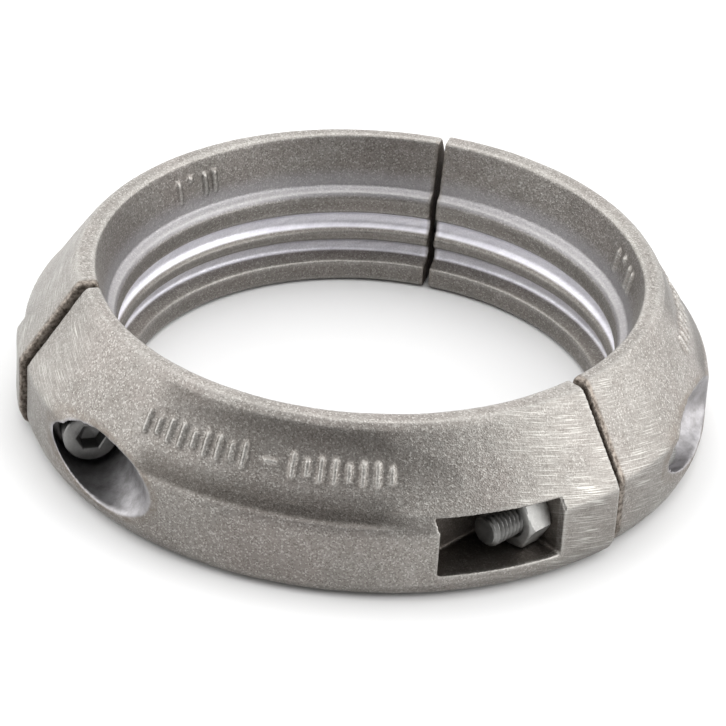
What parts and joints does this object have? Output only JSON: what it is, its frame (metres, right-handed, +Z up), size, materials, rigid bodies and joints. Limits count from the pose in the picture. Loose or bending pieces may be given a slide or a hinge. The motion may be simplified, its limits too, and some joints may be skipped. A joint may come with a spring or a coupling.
{
  "type": "clamp collar",
  "caption": "Cast clamp collar with a stepped, ribbed bore, split into equal segments that are drawn together by cap screws and captive hex nuts.",
  "frame": {"origin": "on the ring axis, level with the flat bottom face", "axes": "+Z up along the ring axis, towards the lip; the front segment is centred on -Y, and the joints lie at -30, 90 and 210 degrees from +X"},
  "size_m": [0.1676, 0.1678, 0.0385],
  "materials": {
    "cast_segment": "shot-blasted as-cast skin, linished towards the joints, smooth groove floors",
    "cap_screw": "dull zinc plate",
    "hex_nut": "dull zinc plate"
  },
  "bodies": {
    "front_segment": {"front_segment": "cast_segment", "right_hex_nut": "hex_nut"},
    "right_segment": {"right_segment": "cast_segment", "back_hex_nut": "hex_nut"},
    "left_segment": {"left_segment": "cast_segment", "left_hex_nut": "hex_nut"},
    "right_cap_screw": {"right_cap_screw": "cap_screw"},
    "back_cap_screw": {"back_cap_screw": "cap_screw"},
    "left_cap_screw": {"left_cap_screw": "cap_screw"}
  },
  "joints": [
    {"name": "right_segment_slide", "type": "slide", "parent": "front_segment", "child": "right_segment", "axis": [0.5, 0.866, 0], "range_m": [-0.0011, 0.007]},
    {"name": "left_segment_slide", "type": "slide", "parent": "front_segment", "child": "left_segment", "axis": [-0.5, 0.866, 0], "range_m": [-0.0011, 0.007]},
    {"name": "right_cap_screw_turn", "type": "hinge", "parent": "right_segment", "child": "right_cap_screw", "pos_m": [0.06227, -0.03595, 0.0132], "axis": [0.5, 0.866, 0], "range_deg": [-316.8, 2016]},
    {"name": "back_cap_screw_turn", "type": "hinge", "parent": "left_segment", "child": "back_cap_screw", "pos_m": [0, 0.0719, 0.0132], "axis": [-1, 0, 0], "range_deg": [-316.8, 2016]},
    {"name": "left_cap_screw_turn", "type": "hinge", "parent": "front_segment", "child": "left_cap_screw", "pos_m": [-0.06227, -0.03595, 0.0132], "axis": [0.5, -0.866, 0], "range_deg": [-316.8, 2016]}
  ],
  "couplings": [
    {"joint": "left_segment_slide", "follows": "right_segment_slide", "ratio": 1},
    {"joint": "right_cap_screw_turn", "follows": "right_segment_slide", "rad_per_m": 5026.5},
    {"joint": "back_cap_screw_turn", "follows": "right_segment_slide", "rad_per_m": 5026.5},
    {"joint": "left_cap_screw_turn", "follows": "right_segment_slide", "rad_per_m": 5026.5}
  ]
}
